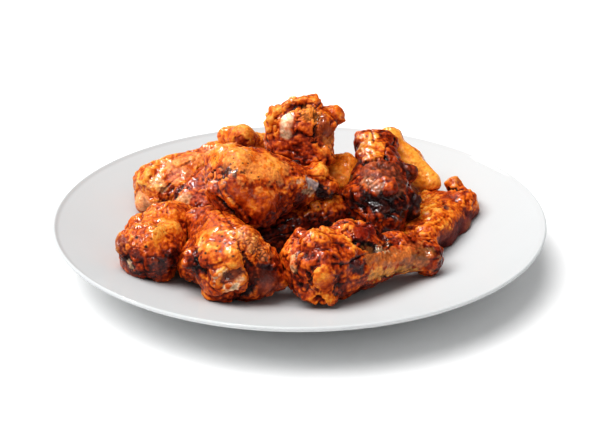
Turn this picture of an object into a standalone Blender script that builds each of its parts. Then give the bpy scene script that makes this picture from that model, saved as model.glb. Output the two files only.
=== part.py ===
"""A serving of roast chicken wings heaped on a round white coupe plate.

Run with: blender --background --python part.py
Metres, +Z up. The origin is the centre of the plate's foot, on the table. -Y is the front.

The plate is one turned solid. Every wing is a solid of its own: a row of overlapping lumps along its
bone, melted together by a voxel remesh and a smooth, thinned to a few hundred triangles, and then
pressed against the plate and the wings it lies on, with a hair of air between them.
"""

import math

import bmesh
import bpy
from mathutils import Matrix, Vector

MM = 0.001

# Driving dimensions of the plate
PLATE_RADIUS = 135 * MM
PLATE_HEIGHT = 27.5 * MM
WELL_RADIUS = 69 * MM
WELL_FLOOR = 5.5 * MM
WALL_AT_FOOT = 4.2 * MM
WALL_AT_RIM = 2.3 * MM
LIP_RADIUS = 1.1 * MM
FOOT_INNER = 70 * MM
FOOT_OUTER = 77 * MM
FOOT_RECESS = 1.4 * MM
PLATE_STEPS = 48

# Driving dimensions of the wings
GAP = 0.45 * MM
VOXEL = 1.7 * MM
MELT_PASSES = 10
WING_TRIANGLES = 460
# Lumps round a shoulder: share of a turn, radius and reach as shares of the thick end's radius
SHOULDER_LUMPS = ((0.08, 0.50, 0.66), (0.30, 0.44, 0.70), (0.47, 0.54, 0.60), (0.66, 0.46, 0.68), (0.87, 0.52, 0.62))

NAME = "chicken_wings_serving"


def clear_scene():
    """Empties the startup scene."""
    for obj in list(bpy.data.objects):
        bpy.data.objects.remove(obj)


def new_collection(name):
    """A collection linked under the scene's own."""
    collection = bpy.data.collections.new(name)
    bpy.context.scene.collection.children.link(collection)
    return collection


def finish_material(name, colour, roughness):
    """A plain Principled finish."""
    material = bpy.data.materials.new(name)
    material.use_nodes = True
    shader = material.node_tree.nodes["Principled BSDF"]
    shader.inputs["Base Color"].default_value = (*colour, 1)
    shader.inputs["Roughness"].default_value = roughness
    shader.inputs["Metallic"].default_value = 0
    return material


def add_object(name, mesh, collection, material=None):
    """An object that holds a mesh, in a collection, with its finish."""
    obj = bpy.data.objects.new(name, mesh)
    collection.objects.link(obj)
    if material:
        mesh.materials.clear()
        mesh.materials.append(material)
    return obj


def bake_modifiers(obj):
    """Replaces an object's mesh with its evaluated one and drops its modifiers."""
    bpy.context.view_layer.update()
    graph = bpy.context.evaluated_depsgraph_get()
    baked = bpy.data.meshes.new_from_object(obj.evaluated_get(graph))
    obj.modifiers.clear()
    obj.data = baked


# ---------------------------------------------------------------- plate


def coupe_height(radius):
    """Height of the plate's eating surface: flat in the well, then a soft rise that straightens out."""
    share = max(0, (radius - WELL_RADIUS) / (PLATE_RADIUS - WELL_RADIUS))
    return WELL_FLOOR + (PLATE_HEIGHT - WELL_FLOOR) * share**1.25


def wall(radius):
    """How thick the plate's side is, measured upright: thin at the rim, stout near the foot."""
    share = (PLATE_RADIUS - radius) / (PLATE_RADIUS - FOOT_OUTER)
    return WALL_AT_RIM + (WALL_AT_FOOT - WALL_AT_RIM) * share**2


def lip(points):
    """The rounded edge, from the eating surface over the rim to the underside."""
    centre = Vector((PLATE_RADIUS - LIP_RADIUS, PLATE_HEIGHT - LIP_RADIUS))
    for i in range(points):
        angle = math.radians(100 - 190 * i / (points - 1))
        yield centre + LIP_RADIUS * Vector((math.cos(angle), math.sin(angle)))


def plate_profile():
    """The plate's half section as (radius, height), from the centre of the well round to the foot's recess."""
    slope = [WELL_RADIUS + (PLATE_RADIUS - 2 * MM - WELL_RADIUS) * i / 6 for i in range(7)]
    top = [Vector((0, WELL_FLOOR))] + [Vector((r, coupe_height(r))) for r in slope]
    under = [Vector((r, coupe_height(r) - wall(r))) for r in reversed(slope) if r > FOOT_OUTER + 8 * MM]
    foot = [
        Vector((FOOT_OUTER + 1.5 * MM, 2.2 * MM)),
        Vector((FOOT_OUTER, 0)),
        Vector((FOOT_INNER, 0)),
        Vector((FOOT_INNER - 1.5 * MM, FOOT_RECESS)),
        Vector((0, FOOT_RECESS)),
    ]
    return top + list(lip(5)) + under + foot


def turned_mesh(name, profile):
    """A profile in the XZ plane as a chain of edges, ready for a Screw modifier."""
    mesh = bpy.data.meshes.new(name)
    edges = [(i, i + 1) for i in range(len(profile) - 1)]
    mesh.from_pydata([(p.x, 0, p.y) for p in profile], edges, [])
    return mesh


def turn(obj, steps):
    """Turns an object's profile once round Z into a closed solid."""
    screw = obj.modifiers.new("Turn", "SCREW")
    screw.axis = "Z"
    screw.steps = steps
    screw.render_steps = steps
    screw.use_merge_vertices = True
    screw.merge_threshold = 0.00001


def make_plate(collection, material):
    """The porcelain plate."""
    plate = add_object("plate", turned_mesh("plate", plate_profile()), collection, material)
    turn(plate, PLATE_STEPS)
    bake_modifiers(plate)
    plate.data.materials.clear()
    plate.data.materials.append(material)
    plate.data.shade_smooth()
    plate.data.set_sharp_from_angle(angle=math.radians(40))
    return plate


def make_plate_room(collection):
    """The cutter that trims a wing where it lies on the plate: everything up to a gap above it."""
    radii = [WELL_RADIUS + (PLATE_RADIUS - WELL_RADIUS) * i / 8 for i in range(9)]
    profile = [Vector((0, WELL_FLOOR + GAP))]
    profile += [Vector((r, coupe_height(r) + GAP)) for r in radii]
    profile += [Vector((PLATE_RADIUS + 30 * MM, PLATE_HEIGHT)), Vector((PLATE_RADIUS + 30 * MM, -30 * MM))]
    profile += [Vector((0, -30 * MM))]
    room = add_object("plate_room", turned_mesh("plate_room", profile), collection)
    turn(room, PLATE_STEPS)
    bake_modifiers(room)
    hide_helper(room)
    return room


def hide_helper(obj):
    """Keeps a cutter out of the model."""
    obj.hide_render = True
    obj.display_type = "WIRE"


# ---------------------------------------------------------------- wings


class Bone:
    """A wing's own frame: x runs from the middle of the thick end to the middle of the thin end."""

    def __init__(self, thick, thin, roll=0):
        self.start = Vector(thick) * MM
        reach = Vector(thin) * MM - self.start
        self.length = reach.length
        axis = reach.normalized()
        side = Vector((0, 0, 1)).cross(axis).normalized()
        up = axis.cross(side)
        turn_about = Matrix.Rotation(math.radians(roll), 3, axis)
        self.axes = Matrix((axis, turn_about @ side, turn_about @ up)).transposed()

    def place(self, along, side, up):
        """A point given along the bone as a share of its length, and sideways and upwards in metres."""
        return self.start + self.axes @ Vector((along * self.length, side, up))


def ease(share):
    """A smooth step from 0 to 1."""
    share = min(1, max(0, share))
    return share * share * (3 - 2 * share)


def drumette(bone, thick, thin, waist=0.62):
    """Lumps of an upper wing: a ball of meat at the shoulder, a tapering body, and the elbow's two knuckles."""
    lumps = []
    for i in range(9):
        share = i / 8
        radius = thick + (thin * 0.86 - thick) * ease(share / waist * 0.72)
        lumps.append((bone.place(share, 0, 0), (radius * 1.06, radius, radius * 0.97)))
    for turn_share, size, reach in SHOULDER_LUMPS:
        angle = math.tau * turn_share
        off = reach * thick
        centre = bone.place(-0.36 * thick / bone.length, off * math.cos(angle), off * math.sin(angle))
        lumps.append((centre, (size * thick,) * 3))
    for hand in (-1, 1):
        centre = bone.place(1 + 0.25 * thin / bone.length, hand * 0.55 * thin, 0.1 * thin)
        lumps.append((centre, (0.66 * thin,) * 3))
    return lumps


def flat(bone, width, thickness, taper=0.86):
    """Lumps of a middle wing: two bones side by side, meat between them, and a pair of knuckles at each end."""
    lumps = []
    half = thickness / 2
    for i in range(9):
        share = i / 8
        swell = 0.80 + 0.24 * math.sin(math.pi * min(1, share * 1.15))
        spread = (width / 2 - half) * (1 + (taper - 1) * share)
        for hand in (-1, 0, 1):
            radius = half * swell * (1 if hand else 1.06)
            lumps.append((bone.place(share, hand * spread, 0), (radius * 1.15, radius, radius)))
    for share in (-0.02, 1.02):
        for hand in (-1, 1):
            centre = bone.place(share, hand * (width / 2 - half * 0.8), 0.08 * half)
            lumps.append((centre, (half * 0.92,) * 3))
    return lumps


def lump(x, y, z, *radii):
    """One more lump of meat, skin or gristle: its middle and its radius or three radii, in millimetres."""
    radii = radii if len(radii) == 3 else radii * 3
    return Vector((x, y, z)) * MM, tuple(r * MM for r in radii)


def wing_mesh(name, bone, lumps):
    """Ellipsoids laid along a bone, as one mesh of loose overlapping shells."""
    work = bmesh.new()
    for centre, radii in lumps:
        matrix = Matrix.Translation(centre) @ bone.axes.to_4x4() @ Matrix.Diagonal((*radii, 1))
        bmesh.ops.create_icosphere(work, subdivisions=3, radius=1, matrix=matrix)
    mesh = bpy.data.meshes.new(name)
    work.to_mesh(mesh)
    work.free()
    return mesh


def melt(obj):
    """Melts the lumps into one skin and thins it."""
    remesh = obj.modifiers.new("Melt", "REMESH")
    remesh.mode = "VOXEL"
    remesh.voxel_size = VOXEL
    smooth = obj.modifiers.new("Soften", "SMOOTH")
    smooth.factor = 0.5
    smooth.iterations = MELT_PASSES
    bake_modifiers(obj)
    thin = obj.modifiers.new("Thin", "DECIMATE")
    thin.ratio = WING_TRIANGLES / (2 * len(obj.data.polygons))
    thin.use_collapse_triangulate = True
    bake_modifiers(obj)


def press(obj, cutter):
    """Trims a wing where it would enter a cutter."""
    cut = obj.modifiers.new("Rest", "BOOLEAN")
    cut.operation = "DIFFERENCE"
    cut.object = cutter
    bake_modifiers(obj)


def keep_largest_body(obj):
    """Drops the crumbs that a trim may leave."""
    work = bmesh.new()
    work.from_mesh(obj.data)
    left = set(work.verts)
    bodies = []
    while left:
        body, queue = set(), [left.pop()]
        while queue:
            vert = queue.pop()
            body.add(vert)
            near = {edge.other_vert(vert) for edge in vert.link_edges} & left
            left -= near
            queue += near
        bodies.append(body)
    largest = max(bodies, key=len)
    crumbs = [vert for vert in work.verts if vert not in largest]
    bmesh.ops.delete(work, geom=crumbs, context="VERTS")
    work.to_mesh(obj.data)
    work.free()


def make_room(obj, collection):
    """The cutter that a wing makes for those that lie on it: its whole skin moved out by the gap."""
    bpy.context.view_layer.update()
    room = add_object(obj.name + "_room", obj.data.copy(), collection)
    normals = [vert.normal.copy() for vert in room.data.vertices]
    for vert, normal in zip(room.data.vertices, normals):
        vert.co += normal * GAP
    hide_helper(room)
    return room


def boxes_meet(a, b):
    """True if the boxes round two meshes overlap."""
    for axis in range(3):
        low_a, high_a = (pick(v.co[axis] for v in a.data.vertices) for pick in (min, max))
        low_b, high_b = (pick(v.co[axis] for v in b.data.vertices) for pick in (min, max))
        if low_a > high_b or low_b > high_a:
            return False
    return True


def wing_shapes():
    """Every wing from the bottom of the heap to the top: its name, its bone, its lumps and its finish.

    Places are in millimetres from the middle of the plate's foot. A bone is given by the middles of the
    wing's thick end and thin end.
    """
    bone = Bone((12, -62, 25), (66, -37, 18.5))
    lumps = drumette(bone, 18.5 * MM, 10.5 * MM)
    lumps += [lump(35, -46, 35, 8, 4, 10), lump(34, -50, 25, 15, 13, 13), lump(3, -58, 25, 14)]
    lumps += [lump(50, -41, 22, 12), lump(62, -37, 20, 9, 8, 8), lump(69, -41, 13.5, 6), lump(26, -52, 33, 12)]
    yield "wing_front_right", bone, lumps, "sauced"

    bone = Bone((-35, -59, 25.5), (-49, -20, 27))
    lumps = drumette(bone, 19.5 * MM, 12.5 * MM, waist=0.9)
    lumps += [lump(-19, -62, 19, 12), lump(-8, -61, 16, 6), lump(-52, -49, 20, 12), lump(-42, -40, 30, 14)]
    yield "wing_front_middle", bone, lumps, "golden"

    bone = Bone((-78, -43, 24), (-71, -9, 24))
    lumps = drumette(bone, 16.5 * MM, 13.5 * MM, waist=0.9)
    lumps += [lump(-82, -28, 24, 13), lump(-72, -22, 27, 14), lump(-69, -40, 31, 9)]
    yield "wing_front_left", bone, lumps, "sauced"

    bone = Bone((61, -9, 16), (84, 27, 20), roll=-10)
    lumps = flat(bone, 35 * MM, 17 * MM, taper=1.05)
    lumps += [lump(88, 40, 27, 5), lump(95, 33, 21, 7), lump(96, 24, 15.5, 6.5), lump(78, 0, 13, 9), lump(89, 12, 13, 8)]
    yield "wing_right", bone, lumps, "golden"

    bone = Bone((-14, -11, 20), (25, 2, 29))
    lumps = drumette(bone, 14.5 * MM, 10 * MM, waist=0.9)
    lumps += [lump(6, -8, 29, 10, 8, 7), lump(18, -6, 29, 9)]
    yield "wing_centre_low", bone, lumps, "charred"

    bone = Bone((-79, 39, 25), (-50, 54, 38))
    lumps = drumette(bone, 15.5 * MM, 9.5 * MM, waist=0.9)
    lumps += [lump(-87, 34, 21, 8), lump(-60, 46, 36.5, 14, 7, 6), lump(-66, 36, 26, 13)]
    yield "wing_left_back", bone, lumps, "golden"

    bone = Bone((-57, 18, 33), (-37, 0, 24), roll=35)
    lumps = flat(bone, 30 * MM, 18 * MM)
    yield "wing_left_low", bone, lumps, "sauced"

    bone = Bone((23, 24, 35), (30, 68, 21))
    lumps = drumette(bone, 16 * MM, 10 * MM, waist=0.9)
    yield "wing_middle", bone, lumps, "golden"

    bone = Bone((73, 44, 23), (51, 58, 45), roll=60)
    lumps = flat(bone, 29 * MM, 15 * MM)
    lumps += [lump(65, 50, 38, 8)]
    yield "wing_right_back", bone, lumps, "golden"

    bone = Bone((14, 82, 19), (-36, 55, 48.5), roll=20)
    lumps = flat(bone, 28 * MM, 17 * MM)
    yield "wing_back", bone, lumps, "golden"

    bone = Bone((43, 3, 35), (43.5, 40, 50))
    lumps = drumette(bone, 17.5 * MM, 11 * MM, waist=0.9)
    lumps += [lump(61, 3, 31, 6, 5, 9), lump(30, 0, 34, 9), lump(62, 20, 42, 6), lump(42, -8, 27, 11)]
    yield "wing_dark", bone, lumps, "charred"

    bone = Bone((-30, -19, 52), (12, -4, 44))
    lumps = drumette(bone, 19.5 * MM, 9 * MM, waist=0.8)
    lumps += [lump(-23, -26, 46, 15), lump(-38, -12, 59, 13), lump(10, -3, 50, 7), lump(-12, -14, 47, 14)]
    yield "wing_centre", bone, lumps, "golden"

    bone = Bone((1, 22, 67), (4, 74, 46))
    lumps = drumette(bone, 18 * MM, 9.5 * MM)
    lumps += [lump(19, 24, 75, 5.5), lump(8, 12, 57, 12), lump(-8, 18, 60, 12)]
    yield "wing_top", bone, lumps, "sauced"


def make_wings(collection, helpers, materials):
    """All the wings, each pressed against the plate and the wings below it."""
    plate_room = make_plate_room(helpers)
    rooms = []
    for name, bone, lumps, finish in wing_shapes():
        wing = add_object(name, wing_mesh(name, bone, lumps), collection)
        melt(wing)
        own_room = make_room(wing, helpers)
        press(wing, plate_room)
        for room in rooms:
            if boxes_meet(wing, room):
                press(wing, room)
        keep_largest_body(wing)
        wing.data.name = name
        wing.data.materials.clear()
        wing.data.materials.append(materials[finish])
        wing.data.shade_smooth()
        rooms.append(own_room)


def main():
    clear_scene()
    parts = new_collection(NAME)
    helpers = new_collection("helpers")
    materials = {
        "golden": finish_material("golden_skin", (0.58, 0.20, 0.035), 0.35),
        "sauced": finish_material("sauced_skin", (0.42, 0.095, 0.02), 0.28),
        "charred": finish_material("charred_skin", (0.16, 0.04, 0.018), 0.28),
    }
    make_plate(parts, finish_material("white_porcelain", (0.86, 0.86, 0.85), 0.12))
    make_wings(parts, helpers, materials)


main()
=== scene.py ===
import math

import bpy
import numpy as np
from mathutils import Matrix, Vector


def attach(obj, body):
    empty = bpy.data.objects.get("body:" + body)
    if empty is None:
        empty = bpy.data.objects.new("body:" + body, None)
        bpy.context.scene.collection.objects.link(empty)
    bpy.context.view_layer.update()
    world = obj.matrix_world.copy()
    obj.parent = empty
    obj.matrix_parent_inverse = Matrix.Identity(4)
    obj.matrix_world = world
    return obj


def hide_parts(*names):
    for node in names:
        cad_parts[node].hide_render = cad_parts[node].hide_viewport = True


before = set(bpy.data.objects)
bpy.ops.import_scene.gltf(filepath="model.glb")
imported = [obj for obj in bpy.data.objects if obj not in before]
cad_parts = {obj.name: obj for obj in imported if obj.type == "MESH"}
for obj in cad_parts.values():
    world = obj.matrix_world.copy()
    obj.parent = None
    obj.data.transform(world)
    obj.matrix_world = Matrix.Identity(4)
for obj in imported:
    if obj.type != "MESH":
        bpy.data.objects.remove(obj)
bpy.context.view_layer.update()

MM = 0.001

# ---------------------------------------------------------------------------------------------
# The view and the light. The plate is looked down on from the front at 24 degrees, through a long
# lens. A very broad light hangs over it, a little to the left, in a dim white room. Both are hidden
# from gloss, and what glitters on the wet skin is four softboxes that light nothing else.

look_at = Vector((0, 0, 0.026))
view_rise = math.radians(24)
view_distance = 0.8
view_from = look_at + view_distance * Vector((0, -math.cos(view_rise), math.sin(view_rise)))
camera = bpy.data.objects.new("camera", bpy.data.cameras.new("camera"))
bpy.context.scene.collection.objects.link(camera)
camera.data.sensor_width = 36
camera.data.lens = 86.8
camera.data.shift_x = 0.0008
camera.data.shift_y = -0.0014
camera.location = view_from
camera.rotation_euler = (look_at - view_from).to_track_quat("-Z", "Y").to_euler()
bpy.context.scene.camera = camera
bpy.context.scene.view_settings.view_transform = "Standard"
bpy.context.scene.view_settings.look = "Medium High Contrast"


def softbox(name, place, size, power):
    """A square studio light that faces the plate and shows only in its gloss."""
    lamp = bpy.data.lights.new(name, "AREA")
    lamp.shape = "RECTANGLE"
    lamp.size, lamp.size_y = size
    lamp.energy = power
    light = bpy.data.objects.new(name, lamp)
    bpy.context.scene.collection.objects.link(light)
    light.location = place
    light.visible_diffuse = False
    light.rotation_euler = (look_at - Vector(place)).to_track_quat("-Z", "Y").to_euler()


key = bpy.data.objects.new("key", bpy.data.lights.new("key", "SUN"))
bpy.context.scene.collection.objects.link(key)
key.data.energy = 3.0
key.data.angle = math.radians(60)
key.rotation_euler = Vector((0.42, 0.07, -0.92)).to_track_quat("-Z", "Y").to_euler()
key.visible_glossy = False
softbox("glint_over", (-0.35, -0.1, 1.15), (0.42, 0.3), 20)
softbox("glint_back", (-0.5, 0.75, 0.9), (0.3, 0.2), 9)
softbox("glint_side", (-1.1, -0.25, 0.6), (0.25, 0.25), 8)
softbox("glint_front", (-0.1, -0.95, 0.95), (0.25, 0.16), 6)
room = bpy.data.worlds.new("room")
room.use_nodes = True
room.node_tree.nodes["Background"].inputs["Color"].default_value = (1, 1, 1, 1)
room.node_tree.nodes["Background"].inputs["Strength"].default_value = 0.42
bpy.context.scene.world = room
room.cycles_visibility.glossy = False


# ---------------------------------------------------------------------------------------------
# The table: a plain matt white sheet of painted board, larger than the view, laid flat under the plate.
# It is only staged, so it belongs to the picture and not to the part.


class Value:
    """A socket that can be reckoned with: a sum on it adds a Math node to its finish."""

    def __init__(self, finish, socket):
        self.finish = finish
        self.socket = socket

    def reckon(self, operation, *terms):
        """Adds a Math node whose sockets are the terms, in order."""
        return self.finish.node("ShaderNodeMath", {"operation": operation}, dict(enumerate(terms)))

    def __add__(self, other):
        return self.reckon("ADD", self, other)

    def __radd__(self, other):
        return self.reckon("ADD", other, self)

    def __sub__(self, other):
        return self.reckon("SUBTRACT", self, other)

    def __rsub__(self, other):
        return self.reckon("SUBTRACT", other, self)

    def __mul__(self, other):
        return self.reckon("MULTIPLY", self, other)

    def __rmul__(self, other):
        return self.reckon("MULTIPLY", other, self)


class Finish:
    """A procedural finish: a Principled shader, its plain values, and the nodes that vary it."""

    def __init__(self, name, plain):
        self.material = bpy.data.materials.new(name)
        self.material.use_nodes = True
        self.tree = self.material.node_tree
        self.shader = self.tree.nodes["Principled BSDF"]
        for socket, value in plain.items():
            self.shader.inputs[socket].default_value = value

    def node(self, kind, settings=None, inputs=None, output=0):
        """Adds one node: first its settings, then the values or the links of its sockets."""
        node = self.tree.nodes.new(kind)
        for name, value in (settings or {}).items():
            setattr(node, name, value)
        for socket, value in (inputs or {}).items():
            if isinstance(value, Value):
                self.tree.links.new(value.socket, node.inputs[socket])
            else:
                node.inputs[socket].default_value = value
        return Value(self, node.outputs[output])

    def noise(self, scale, detail=3, rough=0.55):
        """Cloudy noise from 0 to 1, with its lumps about 1 / scale metres apart."""
        place = self.node("ShaderNodeTexCoord", output=3)
        sockets = {"Vector": place, "Scale": scale, "Detail": detail, "Roughness": rough}
        return self.node("ShaderNodeTexNoise", None, sockets)

    def within(self, value, low, high, to_low=0.0, to_high=1.0):
        """Eases a value from one range to another and stops at its ends."""
        settings = {"interpolation_type": "SMOOTHSTEP"}
        return self.node("ShaderNodeMapRange", settings, {0: value, 1: low, 2: high, 3: to_low, 4: to_high})

    def blend(self, share, first, second):
        """A mix of two colours, or of a colour and a link."""
        one, two = ((*c, 1) if isinstance(c, tuple) else c for c in (first, second))
        return self.node("ShaderNodeMix", {"data_type": "RGBA"}, {0: share, 6: one, 7: two}, output=2)

    def drive(self, socket, value):
        """Links a value to a socket of the shader."""
        self.tree.links.new(value.socket, self.shader.inputs[socket])

    def rough_up(self, height, distance, strength=1.0):
        """Lets a height, 1 of which stands for the distance, tilt the light on the surface."""
        sockets = {"Strength": strength, "Distance": distance, "Height": height}
        bump = self.node("ShaderNodeBump", None, sockets)
        self.drive("Normal", bump)


def skin_over(name, points, faces, finish):
    """Makes a smooth object of corner and face arrays, with its finish."""
    mesh = bpy.data.meshes.new(name)
    sides = faces.shape[1]
    mesh.vertices.add(len(points))
    mesh.vertices.foreach_set("co", points.ravel())
    mesh.loops.add(faces.size)
    mesh.loops.foreach_set("vertex_index", faces.ravel())
    mesh.polygons.add(len(faces))
    mesh.polygons.foreach_set("loop_start", np.arange(len(faces)) * sides)
    mesh.polygons.foreach_set("use_smooth", np.full(len(faces), True))
    mesh.update(calc_edges=True)
    mesh.validate()
    if finish:
        mesh.materials.append(finish.material)
    obj = bpy.data.objects.new(name, mesh)
    bpy.context.scene.collection.objects.link(obj)
    return obj


matt_white = Finish("matt_white_table", {"Base Color": (0.93, 0.93, 0.93, 1), "Roughness": 0.8})
matt_white.drive("Roughness", matt_white.within(matt_white.noise(6), 0.3, 0.7, 0.75, 0.85))
table_corners = np.array([(-3, -3, 0), (3, -3, 0), (3, 3, 0), (-3, 3, 0)], dtype=float)
table = skin_over("table", table_corners, np.array([[0, 1, 2, 3]]), matt_white)


# ---------------------------------------------------------------------------------------------
# The plate: a white porcelain coupe plate, 27 cm across, jiggered on a wheel and glazed all over but
# for the foot ring's edge. Its well is flat, its side rises in one soft curve to a thin rounded lip.

plate_radius, plate_height = 135 * MM, 27.5 * MM
well_radius, well_floor = 69 * MM, 5.5 * MM
foot_radius, foot_recess = 77 * MM, 1.4 * MM
wall_at_foot, wall_at_rim = 4.2 * MM, 2.3 * MM
lip_round = 1.1 * MM


def coupe_height(radius):
    """Flat in the well, then a rise by the power of 1.25 of the share of the way to the rim."""
    share = np.clip((radius - well_radius) / (plate_radius - well_radius), 0, 1)
    return well_floor + (plate_height - well_floor) * share**1.25


def turned(profile, steps):
    """Carries a profile of radius and height once round: each point times the cosine and sine of a turn.

    The profile starts and ends on the axis, where one point closes it.
    """
    turn = np.arange(steps) * math.tau / steps
    ring = profile[1:-1]
    x = ring[:, 0, None] * np.cos(turn)
    y = ring[:, 0, None] * np.sin(turn)
    z = np.repeat(ring[:, 1, None], steps, axis=1)
    points = np.stack([x, y, z], axis=2).reshape(-1, 3)
    poles = [(0, 0, profile[0, 1]), (0, 0, profile[-1, 1])]
    grid = np.arange(len(points)).reshape(len(ring), steps)
    right = np.roll(grid, -1, axis=1)
    low = np.stack([grid[:-1], grid[1:], right[1:], right[:-1]], axis=2).reshape(-1, 4)
    top = np.stack([np.full(steps, len(points)), grid[0], right[0]], axis=1)
    end = np.stack([np.full(steps, len(points) + 1), right[-1], grid[-1]], axis=1)
    faces = np.concatenate([low[:, [0, 1, 2]], low[:, [0, 2, 3]], top, end])
    return np.concatenate([points, poles]), faces


slope = np.linspace(well_radius - 6 * MM, plate_radius - 2 * MM, 40)
over = np.radians(np.linspace(100, -90, 14))
lip_middle = np.array([plate_radius - lip_round, plate_height - lip_round])
lip = lip_middle + lip_round * np.stack([np.cos(over), np.sin(over)], 1)
inner = np.stack([slope, coupe_height(slope)], 1)
under_reach = slope[::-1][slope[::-1] > 85 * MM]
from_rim = (plate_radius - under_reach) / (plate_radius - foot_radius)
wall = wall_at_rim + (wall_at_foot - wall_at_rim) * from_rim**2
under = np.stack([under_reach, coupe_height(under_reach) - wall], 1)
foot_outside = np.array([(81.5, 3.0), (78.8, 2.2), (77.6, 1.1), (77.1, 0.3), (76.6, 0)]) * MM
foot_inside = np.array([(70.4, 0), (69.9, 0.3), (69.2, 1.0), (68.5, 1.4), (40, 1.4)]) * MM
well_steps = np.array([(r, well_floor) for r in np.array((20, 45, 60)) * MM])
upper_side = np.concatenate([[(0, well_floor)], well_steps, inner, lip])
under_side = np.concatenate([under, foot_outside, foot_inside, [(0, foot_recess)]])
profile = np.concatenate([upper_side, under_side])
glaze = Finish("white_glaze", {"Specular IOR Level": 0.0, "Coat Weight": 0.15, "Coat Roughness": 0.08})
cloud = glaze.within(glaze.noise(35, 4), 0.3, 0.7)
glaze.drive("Base Color", glaze.blend(cloud, (0.585, 0.597, 0.60), (0.59, 0.603, 0.606)))
glaze.drive("Roughness", glaze.within(glaze.noise(90, 3), 0.3, 0.7, 0.22, 0.32))
glaze.rough_up(glaze.noise(9, 1), 0.0001, 0.03)
plate = skin_over("porcelain_plate", *turned(profile, 288), glaze)
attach(plate, "root")
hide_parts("plate")


# ---------------------------------------------------------------------------------------------
# The wings: jointed chicken wings, roasted until the skin blisters and browns, and tossed in a red,
# oily sauce that stays in the creases. Each is meat round one bone or two, with knobs of gristle at
# its ends and skin that has shrunk into folds.


def hashed(cells, seed):
    """A number from 0 to 1 for each lattice cell: the fraction of a large sine of its mixed places."""
    mixed = cells @ np.array([127.1, 311.7, 74.7]) + seed * 37.31
    return np.abs(np.sin(mixed) * 43758.5453) % 1


def swell(points, size, seed):
    """Soft noise from -1 to 1: hashed numbers at the corners of a lattice, eased between by a quintic."""
    place = points / size
    corner = np.floor(place)
    part = place - corner
    part = part**3 * (part * (part * 6 - 15) + 10)
    total = np.zeros(len(points))
    for step in np.ndindex(2, 2, 2):
        share = np.where(step, part, 1 - part).prod(axis=1)
        total += share * hashed(corner + step, seed)
    return total * 2 - 1


def stir(points, size, reach, seed):
    """Points pushed about by soft noise, a different one for each axis."""
    return points + reach * np.stack([swell(points, size, seed + k) for k in (0.3, 1.7, 2.9)], axis=1)


def cobbles(points, size, seed):
    """The distances to the nearest and the next nearest of strewn pips, one hashed into each cell."""
    place = points / size
    corner = np.floor(place)
    nearest = np.full(len(points), 9.0)
    second = nearest.copy()
    for step in np.ndindex(3, 3, 3):
        cell = corner + step - 1
        pip = cell + np.stack([hashed(cell, seed + k) for k in (0.11, 0.53, 0.87)], axis=1)
        gap = np.linalg.norm(place - pip, axis=1)
        second = np.minimum(second, np.maximum(nearest, gap))
        nearest = np.minimum(nearest, gap)
    return nearest, second


def ease(value, low, high):
    """Rises smoothly from 0 at the low value to 1 at the high one."""
    share = np.clip((value - low) / (high - low), 0, 1)
    return share * share * (3 - 2 * share)


def knob(middle, radii, columns=16, rows=11):
    """An egg of gristle or meat: each radius times the sine or cosine of its latitude and longitude."""
    radii = np.broadcast_to(np.array(radii, dtype=float), 3) * MM
    down = np.linspace(0, math.pi, rows)
    shape, faces = turned(np.stack([np.sin(down), np.cos(down)], 1), columns)
    return shape * radii + np.array(middle) * MM, faces


def solid_of(node):
    """A CAD solid's corners and triangles, with the corners that meet made one."""
    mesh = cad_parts[node].data
    points = np.empty(len(mesh.vertices) * 3)
    mesh.vertices.foreach_get("co", points)
    mesh.calc_loop_triangles()
    triangles = np.empty(len(mesh.loop_triangles) * 3, dtype=np.int32)
    mesh.loop_triangles.foreach_get("vertices", triangles)
    points = points.reshape(-1, 3)
    _, first, back = np.unique(np.round(points, 6), axis=0, return_index=True, return_inverse=True)
    return points[first], back.ravel()[triangles].reshape(-1, 3)


def melted(shells, fineness):
    """Melts overlapping closed shells into one skin of even squares and returns its points and squares."""
    starts = np.cumsum([0] + [len(points) for points, _ in shells[:-1]])
    points = np.concatenate([points for points, _ in shells])
    faces = np.concatenate([faces + start for (_, faces), start in zip(shells, starts)])
    raw = skin_over("raw", points, faces, None)
    remesh = raw.modifiers.new("Melt", "REMESH")
    remesh.mode = "VOXEL"
    remesh.voxel_size = fineness
    bpy.context.view_layer.update()
    mesh = raw.evaluated_get(bpy.context.evaluated_depsgraph_get()).to_mesh()
    out = np.empty(len(mesh.vertices) * 3)
    mesh.vertices.foreach_get("co", out)
    squares = np.empty(len(mesh.loops), dtype=np.int32)
    mesh.loops.foreach_get("vertex_index", squares)
    bpy.data.objects.remove(raw)
    return out.reshape(-1, 3), squares.reshape(-1, 4)


def relaxed(points, squares, times, pull=0.5):
    """Each time, every point moves part of the way to the mean of the points it is joined to."""
    a = squares.ravel()
    b = np.roll(squares, -1, axis=1).ravel()
    count = np.bincount(a, minlength=len(points))[:, None]
    for _ in range(times):
        total = np.stack([np.bincount(a, points[b, k], len(points)) for k in range(3)], axis=1)
        points = points + pull * (total / count - points)
    return points


def facing(points, squares):
    """The outward unit direction at each point: the sum of the cross products of its squares' diagonals."""
    p = points[squares]
    cross = np.cross(p[:, 2] - p[:, 0], p[:, 3] - p[:, 1])
    corners = squares.ravel()
    total = np.stack([np.bincount(corners, np.repeat(cross[:, k], 4), len(points)) for k in range(3)], axis=1)
    return total / np.maximum(np.linalg.norm(total, axis=1, keepdims=True), 1e-12)


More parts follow.
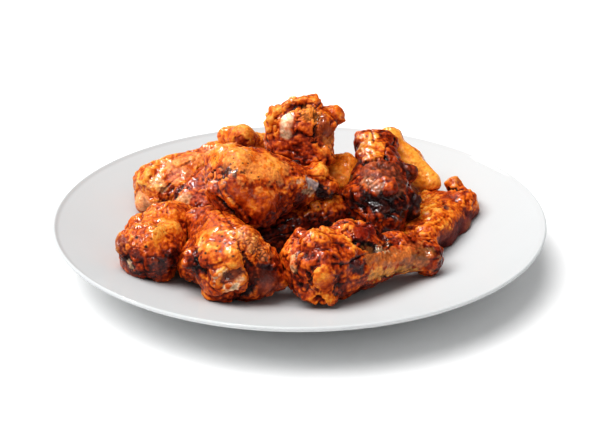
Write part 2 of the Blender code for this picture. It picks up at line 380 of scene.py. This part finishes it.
# How roast skin colours as it browns: burnt, dark sauce, red sauce, orange, gold, and pale fat
BROWNING = np.array([
    (0.00, 0.010, 0.002, 0.002),
    (0.15, 0.050, 0.003, 0.001),
    (0.30, 0.140, 0.010, 0.002),
    (0.45, 0.300, 0.029, 0.003),
    (0.60, 0.530, 0.074, 0.006),
    (0.75, 0.780, 0.170, 0.013),
    (0.88, 0.900, 0.290, 0.030),
    (1.00, 0.950, 0.430, 0.080),
])
PALE_GRISTLE = (0.92, 0.66, 0.42)
CHAR = (0.018, 0.010, 0.012)
PLUM = (0.11, 0.030, 0.032)
PEACH = (0.84, 0.42, 0.20)


def roast_skin():
    """The finish of a wing: the browning of its surface, with the painted light and shade that its colour
    carries, under fine grain, specks, pores and a wet shine.
    """
    glow = {"Subsurface Weight": 0.1, "Subsurface Scale": 0.0012, "Subsurface Radius": (1.0, 0.35, 0.12)}
    shine = {"Specular IOR Level": 0.14, "Coat Roughness": 0.14, "Coat IOR": 1.5}
    skin = Finish("roast_skin", {**glow, **shine})
    # The skin's colour attribute holds the browning and stains, and the painted light and shade with them.
    browned_and_painted_light = skin.node("ShaderNodeAttribute", {"attribute_name": "browned_and_painted_light"})
    wet = skin.node("ShaderNodeAttribute", {"attribute_name": "wet"}, output=2)
    grain = skin.noise(800, 4, 0.6)
    times = {"operation": "MULTIPLY"}
    darker = skin.node("ShaderNodeVectorMath", times, {0: browned_and_painted_light, 1: (0.86, 0.76, 0.7)})
    lighter = skin.node("ShaderNodeVectorMath", times, {0: browned_and_painted_light, 1: (1.06, 1.14, 1.17)})
    mottled = skin.blend(skin.within(grain, 0.36, 0.62), darker, lighter)
    pepper = skin.within(skin.noise(950, 2, 0.5), 0.69, 0.74)
    skin.drive("Base Color", skin.blend(pepper * 0.4, mottled, (0.05, 0.012, 0.006)))
    skin.drive("Roughness", skin.within(skin.noise(500, 3) - wet * 0.4, 0.0, 0.55, 0.16, 0.55))
    skin.drive("Coat Weight", skin.within(wet, 0.35, 0.9, 0.0, 0.75))
    pores = skin.noise(900, 3, 0.5) * 0.8 + skin.noise(380, 2, 0.5)
    skin.rough_up(pores, 0.0011, 0.6)
    return skin


skin_finish = roast_skin()


class Wing:
    """One wing's skin as arrays, worked up from its CAD solid and then coloured with its browning, stains and
    painted light and shade.

    Places and widths are in millimetres. The bone runs from the thick end to the thin end.
    """

    # How large the skin's squares are when its shells are first melted together, and at last
    first_square, last_square = 1.2, 0.55

    def __init__(self, node, thick, thin, seed, lumps=()):
        self.node, self.seed = node, seed
        shells = [solid_of(node)] + [knob(*lump) for lump in lumps]
        points, squares = melted(shells, self.first_square * MM)
        points = relaxed(points, squares, 6)
        points = points + facing(points, squares) * 0.4 * MM
        triangles = np.concatenate([squares[:, [0, 1, 2]], squares[:, [0, 2, 3]]])
        points, self.squares = melted([(points, triangles)], self.last_square * MM)
        self.points = relaxed(points, self.squares, 3)
        thick, thin = np.array(thick) * MM, np.array(thin) * MM
        self.axis = (thin - thick) / np.linalg.norm(thin - thick)
        self.along = (self.points - thick) @ self.axis / np.linalg.norm(thin - thick)
        self.rugged = np.ones(len(self.points))

    def gap(self, places):
        """How far each point lies from a place, or from the chain of straight lines through several."""
        chain = np.array(places, dtype=float).reshape(-1, 3) * MM
        start, reach = chain[:-1], chain[1:] - chain[:-1]
        if len(chain) == 1:
            start, reach = chain, np.array([[0, 0, MM * 0.01]])
        share = np.clip(((self.points[:, None] - start) * reach).sum(2) / (reach**2).sum(1), 0, 1)
        off = self.points[:, None] - start - share[:, :, None] * reach
        return np.linalg.norm(off, axis=2).min(axis=1) / MM

    def near(self, places, width, ragged=0.3):
        """1 within a width of a place or a chain, 0 away from it, with a ragged edge."""
        stray = swell(self.points, 0.5 * width * MM, self.seed + 5)
        stray = stray + 0.5 * swell(self.points, 1.3 * MM, self.seed)
        return 1 - ease(self.gap(places) / width + ragged * stray, 0.7, 1.15)

    def push(self, height):
        """Moves the skin out by a height in millimetres."""
        self.points = self.points + facing(self.points, self.squares) * (height * MM)[:, None]

    def calm(self, places, width, share=0.8):
        """Keeps a patch smooth when the skin is worked."""
        self.rugged = self.rugged * (1 - share * self.near(places, width, 0.15))

    def work(self, lumps=1.0, folds=1.0, blisters=1.0):
        """Works the skin: bulges, knotty meat at the two ends, folds along the bone, blisters and pores.

        Each is soft noise of its own size. A fold is a high power of one less the size of noise that is
        stretched along the bone, and a blister is what rises above the noise's middle.
        """
        p, s = self.points, self.seed
        ends = np.maximum(1 - ease(self.along, -0.1, 0.45), 0.7 * ease(self.along, 0.85, 1.05))
        meat = lumps * (0.3 + 0.7 * ends) * self.rugged
        knotty = swell(stir(p, 6 * MM, 3 * MM, s + 1), 4.6 * MM, s + 2)
        along = (p @ self.axis)[:, None] * self.axis
        stretched = stir(p - 0.72 * along, 6 * MM, 3 * MM, s + 3)
        fold = (1 - np.abs(swell(stretched, 7 * MM, s + 7))) ** 7 * ease(swell(p, 13 * MM, s + 8), -0.5, 0.4)
        lesser = swell(stir(p, 5 * MM, 2 * MM, s), 5.5 * MM, s + 10)
        bulge = 0.9 * swell(p, 11 * MM, s + 9) + 0.6 * (0.4 + 0.6 * self.rugged) * lesser
        self.push(bulge + meat * 0.9 * (knotty + 0.4 * np.abs(knotty)) - folds * self.rugged * 1.1 * fold)
        p = self.points
        small = swell(stir(p, 3 * MM, 1.4 * MM, s + 11), 2.9 * MM, s + 11)
        blister = np.maximum(swell(p, 2.3 * MM, s + 12) - 0.05, 0) * ease(swell(p, 8 * MM, s + 15), -0.4, 0.5)
        pores = 0.2 * swell(p, 1.3 * MM, s + 13)
        self.push((0.3 + 0.7 * self.rugged) * (0.32 * small + blisters * 0.8 * blister + pores))

    def crumble(self, places, width, height=0.6, size=2.2):
        """Breaks a patch into crumbs: one less the square of the distance to the nearest strewn pip."""
        stirred = stir(self.points, 3 * MM, 1.2 * MM, self.seed + 41)
        nearest, second = cobbles(stirred, size * MM, self.seed + 41)
        crumb = np.clip(1 - nearest**2, 0, 1) * ease(second - nearest, 0, 0.4) - 0.4
        self.push(height * self.near(places, width, 0.5) * crumb)

    def brown(self, tone=0.6, patchy=0.15, creases=1.0, top=0.12):
        """Sets the tone of each place: browning in clouds, lighter where it stands out and darker where it
        lies deep, partly sauce that pools and partly painted shade, and lighter facing up, a painted light
        from above.
        """
        p, s = self.points, self.seed
        out = facing(p, self.squares)
        fine = ((p - relaxed(p, self.squares, 5)) * out).sum(1) / MM
        broad = ((p - relaxed(p, self.squares, 50)) * out).sum(1) / MM
        clouds = swell(stir(p, 8 * MM, 4 * MM, s), 10 * MM, s + 21)
        clouds = clouds + 0.8 * swell(stir(p, 3 * MM, 2 * MM, s), 4 * MM, s + 22)
        clouds = clouds + 0.4 * swell(p, 1.9 * MM, s + 23)
        # Painted light and shade: deep darkens hollows and creases, partly as sauce and partly as painted
        # shade, and the top term lightens what faces up and darkens what faces down.
        deep = np.clip(broad * 0.3, -0.35, 0.12) + np.clip(fine * 1.1, -0.16, 0.16)
        self.tone = tone + patchy * clouds + creases * deep + top * out[:, 2]
        self.wet = 0.5 + 0.45 * swell(p, 5 * MM, s + 24) - 0.3 * np.clip(broad * 0.3, -1, 1)
        self.tint = np.zeros((len(p), 4))

    def shade(self, places, width, by, wet=0.0):
        """Makes a patch darker or lighter than the rest: in some places its own browning, in others a painted
        shade or a painted light.
        """
        mask = self.near(places, width)
        self.tone = self.tone + by * mask
        self.wet = self.wet + wet * mask

    def stain_or_paint_light(self, places, width, colour, share=1.0, ragged=0.3, wet=0.0):
        """Lays a patch of another colour, such as gristle, bone or char, and in a few places a painted
        highlight or a painted shade.
        """
        mask = share * self.near(places, width, ragged)
        self.wet = self.wet + wet * mask
        self.tint = self.tint * (1 - mask[:, None]) + np.array([*colour, 1.0]) * mask[:, None]

    def dots(self, places, width, size=1.6, many=0.5, colour=CHAR):
        """Strews specks of pepper and burnt spice: one pip to a lattice cell, kept if its hash is low."""
        nearest, _ = cobbles(self.points, size * 1.7 * MM, self.seed + 31)
        kept = hashed(np.floor(self.points / (size * 3 * MM)), self.seed + 32) < many
        mask = self.near(places, width, 0.5) * kept * (1 - ease(nearest, 0.16, 0.34))
        self.tint = self.tint * (1 - mask[:, None]) + np.array([*colour, 1.0]) * mask[:, None]

    def serve(self):
        """Turns the arrays into a piece of the serving."""
        tone = np.clip(self.tone, 0, 1)
        colour = np.stack([np.interp(tone, BROWNING[:, 0], BROWNING[:, k]) for k in (1, 2, 3)], axis=1)
        # The stains grow darker and lighter with the tone, so they take on its painted shade and light as
        # well as its browning.
        shade_from_tone = np.clip(1 + 1.6 * (self.tone - 0.6), 0.55, 1.25)[:, None]
        colour = colour * (1 - self.tint[:, 3:]) + self.tint[:, :3] * shade_from_tone
        piece = skin_over(self.node + "_skin", self.points, self.squares, skin_finish)
        browned_and_painted_light = piece.data.attributes.new("browned_and_painted_light", "FLOAT_COLOR", "POINT")
        opaque = np.ones((len(colour), 1))
        browned_and_painted_light.data.foreach_set("color", np.concatenate([colour, opaque], axis=1).ravel())
        wet = piece.data.attributes.new("wet", "FLOAT", "POINT")
        wet.data.foreach_set("value", np.clip(self.wet, 0, 1))
        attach(piece, "root")
        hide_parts(self.node)


# ---------------------------------------------------------------------------------------------
# The front right wing: an upper wing lying on its side, elbow to the right. Its shoulder is lumpy meat
# with a round of gristle, a flap of red skin stands up at its waist, and the shank is bare and wet.

shank = [(38, -62, 29), (50, -57, 26), (64, -47, 22)]
gristle = [(12, -83, 28), (12, -82, 21)]
gristle_edge = [(5, -80, 31), (6, -82, 22), (12, -83, 15)]
fat_fold = [(-3, -71, 34), (-3, -75, 28)]
behind_flap, right_of_flap = [(30, -50, 43), (38, -44, 43)], [(44, -46, 38), (44, -50, 34)]
left_of_flap, under_flap = [(24, -58, 42), (28, -64, 38)], [(29, -64, 38), (39, -60, 34)]
wing = Wing("wing_front_right", (12, -62, 25), (66, -37, 18.5), 1, [((15, -77, 14), 4)])
wing.calm(shank, 9, 0.5)
wing.calm(gristle, 6)
wing.calm([(30, -56, 41), (40, -47, 41)], 6, 0.6)
wing.push(0.8 * wing.near(gristle, 6, 0.2) + 1.1 * wing.near(fat_fold, 2))
wing.push(-2.6 * wing.near(behind_flap, 4) - 2.0 * wing.near(right_of_flap, 3.5))
hollows = 1.3 * wing.near(left_of_flap, 2.2) + 1.8 * wing.near(under_flap, 2.6)
wing.push(-hollows - 1.0 * wing.near(gristle_edge, 2))
wing.work(lumps=1.15, folds=1.2)
wing.brown(tone=0.42, patchy=0.17)
wing.shade([(6, -72, 43), (23, -65, 40)], 9, 0.1)
wing.shade(gristle, 6, 0.12)
wing.shade((15, -77, 14), 4, 0.15)
wing.stain_or_paint_light(shank, 7, (0.74, 0.28, 0.08), 0.5, ragged=0.9, wet=1.0)
wing.stain_or_paint_light([(44, -55, 33), (54, -50, 31), (62, -44, 29)], 3, (0.42, 0.05, 0.012), 0.6, ragged=0.6, wet=0.6)
# A thin pale cream streak along the shank: a painted highlight on its wet skin.
wing.stain_or_paint_light([(40, -59, 33), (50, -55, 29.5)], 1.8, (0.95, 0.68, 0.42), 0.7, ragged=0.7, wet=0.8)
wing.stain_or_paint_light([(38, -66, 21), (48, -60, 18), (60, -52, 15)], 4, (0.95, 0.40, 0.055), 0.7, ragged=0.5, wet=0.6)
wing.shade([(69, -46, 23), (74, -44, 18)], 8, -0.26)
wing.stain_or_paint_light([(27, -73, 31), (30, -72, 27)], 3.6, (0.035, 0.015, 0.025), 0.85)
wing.stain_or_paint_light([(31, -57, 41), (35, -53, 43), (40, -48, 42)], 5, (0.26, 0.014, 0.007), 0.85, wet=0.3)
# Painted shade: the crease under the flap is made darker.
wing.shade([(29, -63, 38), (39, -60, 34)], 3, -0.3)
wing.stain_or_paint_light(fat_fold, 1.8, PEACH, 0.85)
wing.dots((16, -68, 40), 16, many=0.3)
wing.serve()


# ---------------------------------------------------------------------------------------------
# The front middle wing: an upper wing seen on the cut end of its shoulder. A crescent of pale gristle
# sits round a brown core, a burnt band divides it from a lobe of bare meat, and the skin above is gold.

crescent = [(-38, -78, 30), (-42, -78, 26), (-42, -77, 22), (-38, -78, 20), (-33, -79, 21), (-29, -78, 25)]
burnt_band = [(-25, -76, 31), (-23, -76, 25), (-24, -75, 18), (-28, -73, 13)]
core = [(-36, -79, 27), (-31, -78, 28)]
lobe = [(-19, -73, 24), (-16, -73, 19)]
gold_crown = [(-46, -55, 42), (-39, -70, 40)]
crust = [(-30, -69, 45), (-25, -71, 41), (-19, -68, 35)]
left_crease = [(-50, -62, 38), (-51, -72, 33), (-49, -76, 25)]
right_crease = [(-33, -66, 45), (-30, -74, 38), (-26, -77, 33)]
knobs = [((-34, -74, 35), 6), ((-55, -66, 31), 6), ((-9, -65, 17), 4)]
wing = Wing("wing_front_middle", (-35, -59, 25.5), (-49, -20, 27), 2, knobs)
wing.calm(gold_crown, 11, 0.6)
wing.calm(lobe, 7, 0.8)
wing.calm([(-36, -79, 27), (-32, -79, 27)], 7, 0.6)
wing.push(1.2 * wing.near(crescent, 2.4, 0.15) - 1.0 * wing.near(core, 3) - 1.6 * wing.near(burnt_band, 2.6))
wing.push(-1.5 * wing.near(left_crease, 2) - 1.2 * wing.near(right_crease, 1.8))
wing.work(lumps=1.0, folds=0.7)
wing.crumble(crust, 7)
wing.brown(tone=0.46)
wing.shade([(-46, -55, 42), (-39, -70, 40), (-35, -76, 36)], 10, 0.16)
wing.shade([(-57, -58, 28), (-53, -70, 29)], 8, -0.2)
wing.stain_or_paint_light(crust, 5, (0.72, 0.32, 0.13), 0.35, ragged=0.8)
wing.stain_or_paint_light(crescent, 2.3, PALE_GRISTLE, 0.9)
wing.stain_or_paint_light(core, 3.4, (0.26, 0.065, 0.03), 0.8)
wing.stain_or_paint_light(burnt_band, 2.2, (0.028, 0.012, 0.02), 0.9)
wing.stain_or_paint_light(lobe, 6.5, (0.20, 0.036, 0.018), 0.7)
wing.stain_or_paint_light([(-21, -73, 30), (-13, -69, 26)], 1.6, (0.03, 0.012, 0.02), 0.8)
wing.shade((-9, -67, 17), 5, 0.12)
wing.dots(gold_crown, 14, many=0.45)
wing.shade([(-15, -70, 24), (-8, -64, 18)], 8, -0.13, 0.2)
wing.serve()


# ---------------------------------------------------------------------------------------------
# The front left wing: an upper wing end on, its skin whole and bumpy with oil, yellow on the crown and
# red brown below, with a sliver of fat where the skin ends.

wing = Wing("wing_front_left", (-76, -43, 24), (-71, -9, 23), 3)
wing.calm([(-74, -57, 37), (-67, -40, 39)], 12, 0.4)
wing.push(1.0 * wing.near([(-90, -54, 26), (-86, -57, 20)], 1.8))
wing.work(lumps=0.5, folds=0.8, blisters=1.2)
wing.brown(tone=0.52, top=0.12)
wing.shade([(-74, -56, 37), (-68, -48, 39), (-66, -36, 38)], 8, 0.14, 0.2)
wing.shade([(-85, -59, 24), (-77, -61, 20), (-70, -60, 22)], 10, -0.2, 0.3)
wing.shade([(-65, -54, 35), (-66, -60, 27)], 6, -0.2)
wing.stain_or_paint_light([(-73, -61, 25), (-70, -60, 19)], 4.5, PLUM, 0.6, ragged=0.5)
wing.stain_or_paint_light([(-93, -52, 33), (-92, -54, 26), (-89, -56, 20)], 4.5, PLUM, 0.55, ragged=0.5)
wing.stain_or_paint_light([(-89, -56, 25), (-87, -58, 20)], 1.1, PALE_GRISTLE, 0.85)
wing.dots((-81, -57, 33), 6, size=2.2, many=0.9)
wing.dots((-70, -56, 31), 14, many=0.25)
wing.serve()


# ---------------------------------------------------------------------------------------------
# The right wing: a middle wing flat on the plate, bumpy gold above, with a matt side painted dark plum
# as shade and a bare knuckle at its far corner.

shaded_side_edge = [(78, -12, 14), (90, 3, 14), (99, 19, 14)]
corner_crease = [(86, 36, 25), (93, 32, 25), (98, 26, 22)]
wing = Wing("wing_right", (61, -9, 16), (84, 27, 20), 4, [((89, 39, 28), 4)])
wing.calm(shaded_side_edge, 7, 0.7)
wing.push(-1.2 * wing.near(corner_crease, 2))
wing.work(lumps=0.5, folds=0.2, blisters=2.0)
wing.brown(tone=0.54, top=0.1)
wing.shade([(73, 20, 26), (75, -2, 27)], 9, 0.08, 0.25)
# Painted shade: the low side is painted a dark plum, and made matt.
wing.stain_or_paint_light(shaded_side_edge, 8, (0.12, 0.028, 0.032), 0.85, wet=-0.5)
# Painted shade in the crease at the far corner.
wing.shade(corner_crease, 2, -0.35)
wing.stain_or_paint_light((81, 3, 28), 2.4, (0.06, 0.02, 0.03), 0.85)
wing.stain_or_paint_light((90, 38, 30), 3.6, (0.45, 0.10, 0.02), 0.5)
wing.dots((78, 8, 28), 14, many=0.3)
wing.serve()


# ---------------------------------------------------------------------------------------------
# The low wing in the middle of the heap: dark brown and painted darker still as shade, nearly black,
# with one lump of bright wet skin where it comes out from under its neighbour.

wing = Wing("wing_centre_low", (-14, -11, 20), (25, 2, 29), 5, [((8, -11, 35), 4), ((16, -9, 35), 4)])
wing.work(lumps=1.2, folds=1.0, blisters=1.2)
# The low tone is partly the wing's dark browning and partly painted shade for its place under the heap.
wing.brown(tone=0.23, patchy=0.08, top=0.0)
wing.shade([(0, -15, 38), (8, -12, 37), (19, -9, 36)], 6.5, 0.42, 0.6)
wing.dots([(-12, -24, 26), (5, -14, 30)], 14, many=0.6)
wing.serve()


# ---------------------------------------------------------------------------------------------
# The back left wing: an upper wing with its shoulder to the left, the bare end of the bone showing as a
# pink nub, pale gristle beside it and a smooth bar of taut skin running up to the right.

bar = [(-70, 37, 42), (-60, 41, 46), (-50, 46, 47)]
pit, nub_crease = [(-78, 23, 27), (-73, 24, 31)], [(-84, 25, 24), (-83, 27, 30)]
knobs = [((-90, 29, 20), (5, 4, 5)), ((-79, 28, 32), 4)]
wing = Wing("wing_left_back", (-80, 39, 24.5), (-50, 54, 41), 6, knobs)
wing.calm(bar, 6)
wing.calm([(-91, 27, 22), (-86, 24, 19)], 6)
wing.push(1.0 * wing.near(bar, 3.5, 0.15) - 0.6 * wing.near(pit, 3) - 1.0 * wing.near(nub_crease, 1.8))
wing.work(lumps=1.15, folds=0.6)
wing.brown(tone=0.64)
wing.stain_or_paint_light([(-91, 27, 22), (-86, 23, 19)], 5.5, (0.92, 0.42, 0.19), 0.7, wet=0.5)
wing.stain_or_paint_light([(-81, 27, 34), (-79, 26, 31)], 4, (0.86, 0.48, 0.20), 0.7, wet=0.4)
wing.stain_or_paint_light(bar, 6, (0.90, 0.31, 0.10), 0.6, ragged=0.5)
wing.stain_or_paint_light([(-71, 29, 36), (-64, 31, 38)], 4.5, (0.58, 0.19, 0.11), 0.55)
# Painted shade in the pit and in the crease by the nub.
wing.shade(pit, 3.4, -0.16)
wing.shade(nub_crease, 2, -0.3)
wing.serve()


# ---------------------------------------------------------------------------------------------
# The low left wing: a middle wing wedged under the others, all red folds, glossy where they part, with
# a patch of pale fat at its left end.

wing = Wing("wing_left_low", (-57, 18, 33), (-37, 0, 24), 7)
wing.push(-1.6 * wing.near([(-69, 10, 32), (-66, 12, 37)], 2.6))
wing.work(lumps=0.9, folds=1.6, blisters=1.2)
wing.brown(tone=0.41)
wing.stain_or_paint_light([(-67, 7, 29), (-64, 6, 32)], 4, (0.86, 0.50, 0.24), 0.7, wet=0.4)
# Painted shade in the crease at the left end.
wing.shade([(-69, 11, 32), (-66, 13, 37)], 2.6, -0.35)
wing.serve()


# ---------------------------------------------------------------------------------------------
# The middle wing: an upper wing of which only the gold, blistered shoulder shows between its
# neighbours. Its gold is partly painted light, and a strip is painted dark as the top wing's shadow.

wing = Wing("wing_middle", (23, 24, 35), (30, 68, 21), 8)
wing.work(lumps=0.4, folds=0.5, blisters=1.3)
# The high tone and the orange laid over it are partly the skin's gold and partly painted light, where the top
# wing shades the shoulder.
wing.brown(tone=0.82, top=0.05)
wing.stain_or_paint_light([(20, 18, 44), (34, 18, 46), (34, 40, 44)], 18, (0.98, 0.27, 0.02), 0.65, ragged=0.5)
# Painted shadow where the top wing's edge shades the shoulder.
wing.shade([(18, 18, 49), (30, 18, 51)], 4, -0.25)
wing.serve()


# ---------------------------------------------------------------------------------------------
# The back right wing: a middle wing leaning on its edge, with a broad smooth yellow side and a thin
# brown rim where the skin turns over.

rim = [(54, 54, 56), (62, 51, 51), (70, 48, 43), (77, 41, 34)]
wing = Wing("wing_right_back", (73, 44, 23), (51, 58, 45), 9)
wing.calm([(60, 45, 46), (74, 36, 33)], 12, 0.5)
wing.work(lumps=0.4, folds=0.4, blisters=1.0)
# The high tone and the orange laid over it are partly the skin's colour and partly painted light on a side
# that faces down, away from the light.
wing.brown(tone=0.8, patchy=0.12)
wing.stain_or_paint_light([(58, 52, 48), (66, 44, 38), (76, 38, 26)], 15, (0.98, 0.34, 0.035), 0.5, ragged=0.7)
wing.shade(rim, 2.0, -0.38)
wing.serve()


# ---------------------------------------------------------------------------------------------
# The back wing: a middle wing whose smooth orange tip looks out between two others, with one shallow
# hollow in it.

hollow = [(-34, 43, 53), (-32, 44, 51)]
wing = Wing("wing_back", (14, 82, 19), (-36, 55, 48.5), 10)
wing.calm((-35, 48, 54), 12, 0.5)
wing.push(-0.7 * wing.near(hollow, 3.4))
wing.work(lumps=0.6, folds=0.6)
wing.brown(tone=0.64)
# Painted shade in the hollow.
wing.shade(hollow, 3, -0.16)
wing.serve()


# ---------------------------------------------------------------------------------------------
# The dark wing: an upper wing stood on its shoulder, which has burnt black and sticky in front, with
# torn corners of skin at the sides. Its elbow stands up behind, square and still orange.

burnt_face = [(36, -13, 41), (45, -15, 37), (54, -13, 34)]
corners = [((61, 14, 46), (5, 3, 4)), ((63, -3, 31), (4, 5, 8)), ((51, -11, 27), 6), ((33, -11, 42), 5)]
right_crease = [(56, -10, 42), (58, -6, 33), (55, -6, 25)]
left_crease = [(32, -8, 47), (32, -12, 38), (36, -14, 33)]
elbow_notch = [(36, 8, 54), (40, 9, 56), (46, 11, 57), (53, 13, 54)]
wing = Wing("wing_dark", (43, 3, 35), (45, 40, 50), 11, corners)
wing.push(-1.4 * wing.near(right_crease, 2) - 1.4 * wing.near(left_crease, 2))
wing.push(-2.6 * wing.near(elbow_notch, 2.6))
wing.work(lumps=1.3, folds=1.0, blisters=1.1)
wing.brown(tone=0.30, patchy=0.14, top=0.05)
wing.stain_or_paint_light([(40, 1, 52), (48, 3, 52), (52, -4, 46)], 8, (0.30, 0.095, 0.045), 0.5, ragged=0.5)
wing.stain_or_paint_light([(36, -6, 47), (41, -11, 47)], 4, (0.62, 0.25, 0.12), 0.75, ragged=0.5, wet=0.3)
wing.stain_or_paint_light([(50, -10, 45), (54, -8, 42)], 2.6, (0.55, 0.18, 0.08), 0.6, ragged=0.5)
wing.stain_or_paint_light(burnt_face, 5.5, CHAR, 0.85, ragged=0.8, wet=0.5)
# Painted shade in the notch where the ball overlaps the elbow behind.
wing.shade(elbow_notch, 2.6, -0.15)
wing.shade([(53, -11, 26), (47, -16, 27)], 5, 0.1, 0.4)
wing.stain_or_paint_light([(57, 12, 48), (64, 15, 44)], 5, (0.10, 0.018, 0.012), 0.75)
wing.stain_or_paint_light([(64, -4, 35), (63, -6, 27)], 6, CHAR, 0.85, wet=0.3)
wing.stain_or_paint_light([(29, -9, 36), (28, -8, 42)], 4, CHAR, 0.6, ragged=0.6, wet=0.4)
wing.shade([(36, 26, 57), (40, 18, 56), (38, 34, 60)], 8, 0.4, 0.4)
wing.shade([(36, 31, 53), (34, 30, 57)], 3, 0.2)
wing.dots([(44, 34, 60), (53, 34, 57)], 9, size=2.4, many=0.7, colour=(0.07, 0.012, 0.006))
wing.serve()


# ---------------------------------------------------------------------------------------------
# The centre wing: the large upper wing across the heap. Its skin is taut and gold above, the gold lightened
# as painted light with a painted highlight on it, glossy orange below, and gathered into a red seam at the
# left.
# The elbow's bone shows at its right end, burnt black.

seam = [(-42, -30, 64), (-40, -36, 60), (-37, -40, 53), (-33, -40, 46), (-28, -39, 40)]
behind_seam = [(-46, -27, 61), (-44, -34, 55), (-40, -38, 48), (-34, -39, 41)]
burnt_tip = [(11, -13, 45), (15, -11, 42), (19, -9, 39)]
bone_rise = [(2, -20, 53), (8, -15, 49)]
lower_side = [(-31, -42, 53), (-20, -38, 50)]
knobs = [((11, -8, 53), 4.5), ((14, -11, 43), (4, 3.5, 3.5)), ((-43, -31, 54), 6)]
wing = Wing("wing_centre", (-30, -19, 52), (12, -4, 44), 12, knobs)
wing.calm([(-41, -17, 70), (-28, -28, 70), (-15, -25, 65)], 12, 0.75)
wing.calm(lower_side, 11, 0.75)
seam_relief = 1.3 * wing.near(seam, 2, 0.2) - 1.8 * wing.near(behind_seam, 2)
wing.push(seam_relief + 0.8 * wing.near(bone_rise, 3, 0.2))
wing.work(lumps=0.9, folds=0.6)
wing.brown(tone=0.46)
# Painted light and highlight: the crown is lightened as if lit from above, and a pale peach band is a painted
# highlight on it.
wing.shade([(-41, -17, 70), (-28, -30, 68), (-15, -25, 65)], 11, 0.24, 0.1)
wing.stain_or_paint_light([(-34, -30, 67), (-22, -31, 63), (-13, -27, 62)], 7, (0.98, 0.46, 0.13), 0.32, ragged=1.2)
wing.shade(lower_side, 8, 0.08, 0.5)
wing.shade(seam, 2.2, -0.12)
# Darker in the folds behind the seam: partly the folds' deeper red and partly painted shade in them.
wing.shade([(-46, -27, 58), (-43, -35, 51), (-36, -39, 42)], 6, -0.14, 0.3)
wing.shade([(-34, -38, 62), (-24, -38, 59), (-14, -33, 58)], 3.0, -0.08)
wing.stain_or_paint_light([(-36, -34, 65), (-33, -35, 64)], 3.0, (0.05, 0.014, 0.010), 0.9, ragged=1.0)
wing.shade([(-8, -27, 57), (-1, -22, 55)], 6, 0.02, 0.3)
wing.shade((11, -8, 55), 4.5, 0.1)
wing.stain_or_paint_light([(-1, -21, 54), (2, -20, 50), (6, -18, 47)], 2.6, PALE_GRISTLE, 0.7, ragged=0.5)
wing.stain_or_paint_light([(4, -18, 53), (9, -15, 49)], 2.5, (0.44, 0.42, 0.43), 0.8, ragged=0.5)
wing.stain_or_paint_light(burnt_tip, 3.9, (0.012, 0.010, 0.015), 0.95, wet=0.5)
wing.dots([(-38, -22, 68), (-18, -30, 64)], 17, size=1.1, many=0.3)
wing.serve()


# ---------------------------------------------------------------------------------------------
# The top wing: an upper wing that points backwards, so that its shoulder's cut end faces the front. The
# ivory end of the bone stands in lumps of meat inside a roll of skin, with a ball of gristle at the right.

bone_end = [(-6.5, 9, 78), (-7, 7, 71)]
roll = [(-17, 14, 72), (-16, 14, 78), (-11, 17, 84), (-2, 19, 86), (7, 17, 87)]
inside_roll = [(-13, 9, 72), (-12, 11, 78), (-6, 13, 83), (1, 14, 84)]
beside_bone = [(-3, 7, 72), (-1, 9, 78)]
crust = [(4, 11, 82), (8, 10, 79)]
knobs = [((-6.5, 9, 74), (4, 4.5, 6.5)), ((5, 13, 80), (5, 4, 4)), ((19, 20, 76), 5.5), ((-4, 18, 80), 6)]
wing = Wing("wing_top", (1, 22, 67), (4, 74, 46), 13, knobs)
wing.calm(bone_end, 5, 0.9)
wing.calm([(13, 8, 74), (15, 8, 69)], 6)
wing.calm((19, 20, 77), 7)
hollows = 1.6 * wing.near(inside_roll, 2) + 1.5 * wing.near(beside_bone, 1.6)
wing.push(1.3 * wing.near(roll, 3, 0.2) - hollows)
wing.push(-1.3 * wing.near([(10, 9, 80), (8, 7, 74), (8, 5, 67)], 1.8))
wing.work(lumps=1.3, folds=0.7, blisters=1.1)
wing.crumble(crust, 6)
wing.brown(tone=0.43)
wing.shade(roll, 3.5, 0.16)
wing.stain_or_paint_light(bone_end, 3.8, (0.96, 0.70, 0.46), 0.95, ragged=0.12, wet=0.3)
wing.stain_or_paint_light([(-3.5, 8, 77), (-3.5, 6.5, 75)], 1.7, (0.30, 0.05, 0.012), 0.85)
wing.stain_or_paint_light(crust, 4.5, (0.92, 0.30, 0.05), 0.75, ragged=0.5)
wing.stain_or_paint_light([(13, 8, 75), (15, 8, 69)], 5, (0.24, 0.040, 0.006), 0.85, ragged=0.5)
wing.stain_or_paint_light([(16, 8, 65), (13, 7, 61)], 4.5, (0.88, 0.28, 0.05), 0.6, ragged=0.6)
wing.shade((19, 20, 77), 6, 0.12)
wing.serve()
